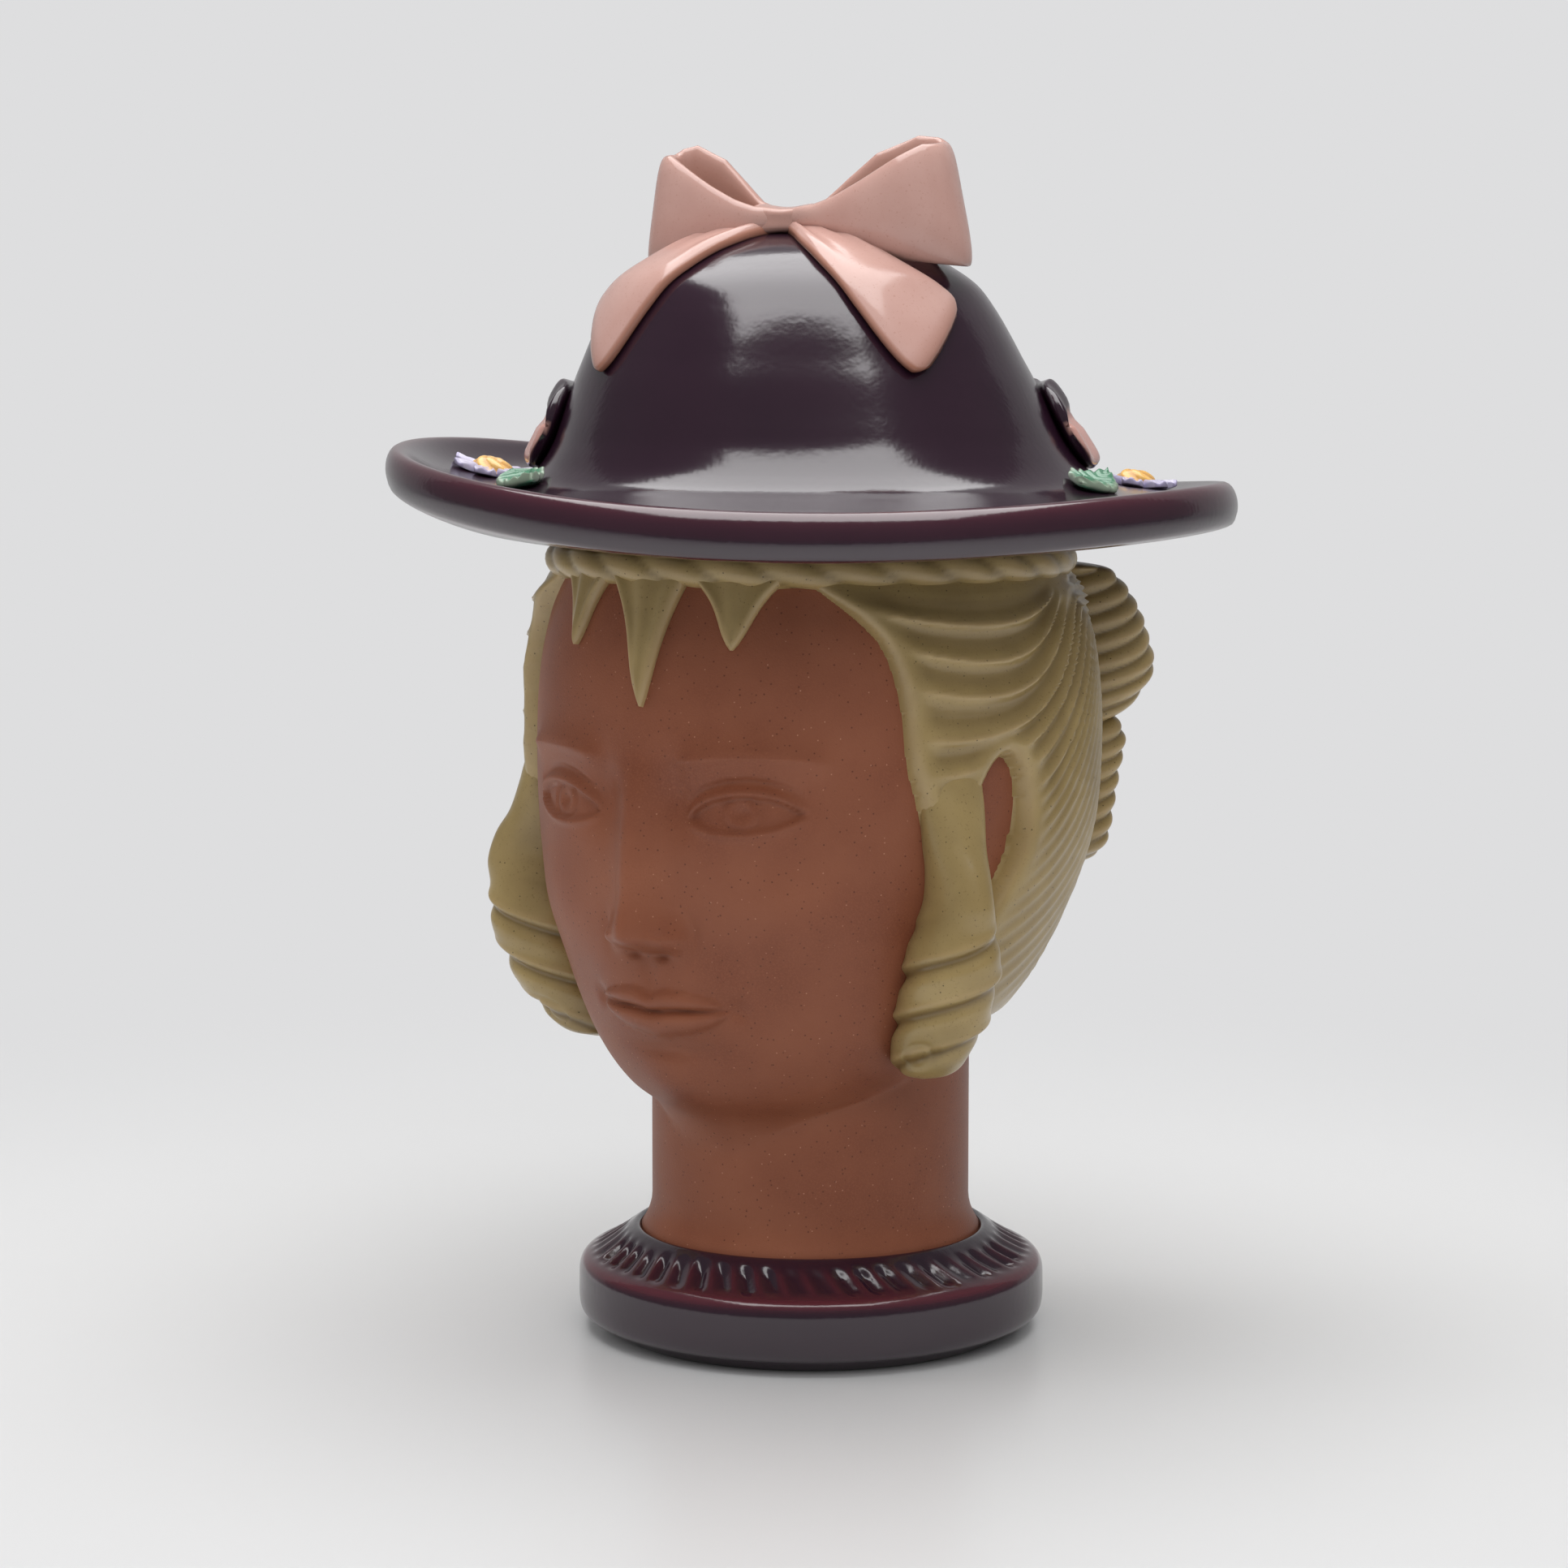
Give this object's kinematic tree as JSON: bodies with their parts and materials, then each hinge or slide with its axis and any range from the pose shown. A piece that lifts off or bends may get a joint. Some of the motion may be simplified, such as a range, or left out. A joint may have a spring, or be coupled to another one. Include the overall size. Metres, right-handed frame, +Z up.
{
  "type": "head vase",
  "caption": "Lidded earthenware vase shaped as a head on a fluted collar foot, with glazed hair and a loose brimmed hat with bow and flowers as its lid.",
  "frame": {"origin": "centre of the foot ring's underside, on the surface that the vase stands on", "axes": "+Z up through the head and the hat, the face looks along -Y, +X is the head's own left"},
  "size_m": [0.2134, 0.2135, 0.2989],
  "materials": {
    "terracotta": "bare fired clay, satin",
    "hair_glaze": "satin khaki glaze",
    "aubergine_glaze": "glossy dark purple glaze",
    "pink_glaze": "glossy pink glaze",
    "green_glaze": "glossy green glaze",
    "yellow_glaze": "glossy yellow glaze",
    "lilac_glaze": "glossy pale lilac glaze"
  },
  "bodies": {
    "vase": {"head_shell": "terracotta", "collar_foot": "aubergine_glaze", "hair_cap": "hair_glaze", "rim_roll": "hair_glaze", "fringe_left": "hair_glaze", "fringe_middle": "hair_glaze", "fringe_right": "hair_glaze", "ringlet_left": "hair_glaze", "ringlet_right": "hair_glaze", "chignon": "hair_glaze", "plait": "hair_glaze"},
    "hat": {"hat_shell": "aubergine_glaze", "hat_flange": "terracotta", "bow_knot": "pink_glaze", "bow_loop_left": "pink_glaze", "bow_loop_right": "pink_glaze", "bow_tail_left": "pink_glaze", "bow_tail_right": "pink_glaze", "back_ribbon_left": "aubergine_glaze", "back_ribbon_right": "aubergine_glaze", "flower_petals_left": "lilac_glaze", "flower_heart_left": "yellow_glaze", "bud_left": "pink_glaze", "leaf_front_left": "green_glaze", "leaf_back_left": "green_glaze", "flower_petals_right": "lilac_glaze", "flower_heart_right": "yellow_glaze", "bud_right": "pink_glaze", "leaf_front_right": "green_glaze", "leaf_back_right": "green_glaze"}
  },
  "joints": [
    {"name": "hat_lift", "type": "slide", "parent": "vase", "child": "hat", "axis": [0, 0, 1], "range_m": [0, 0.12]}
  ]
}
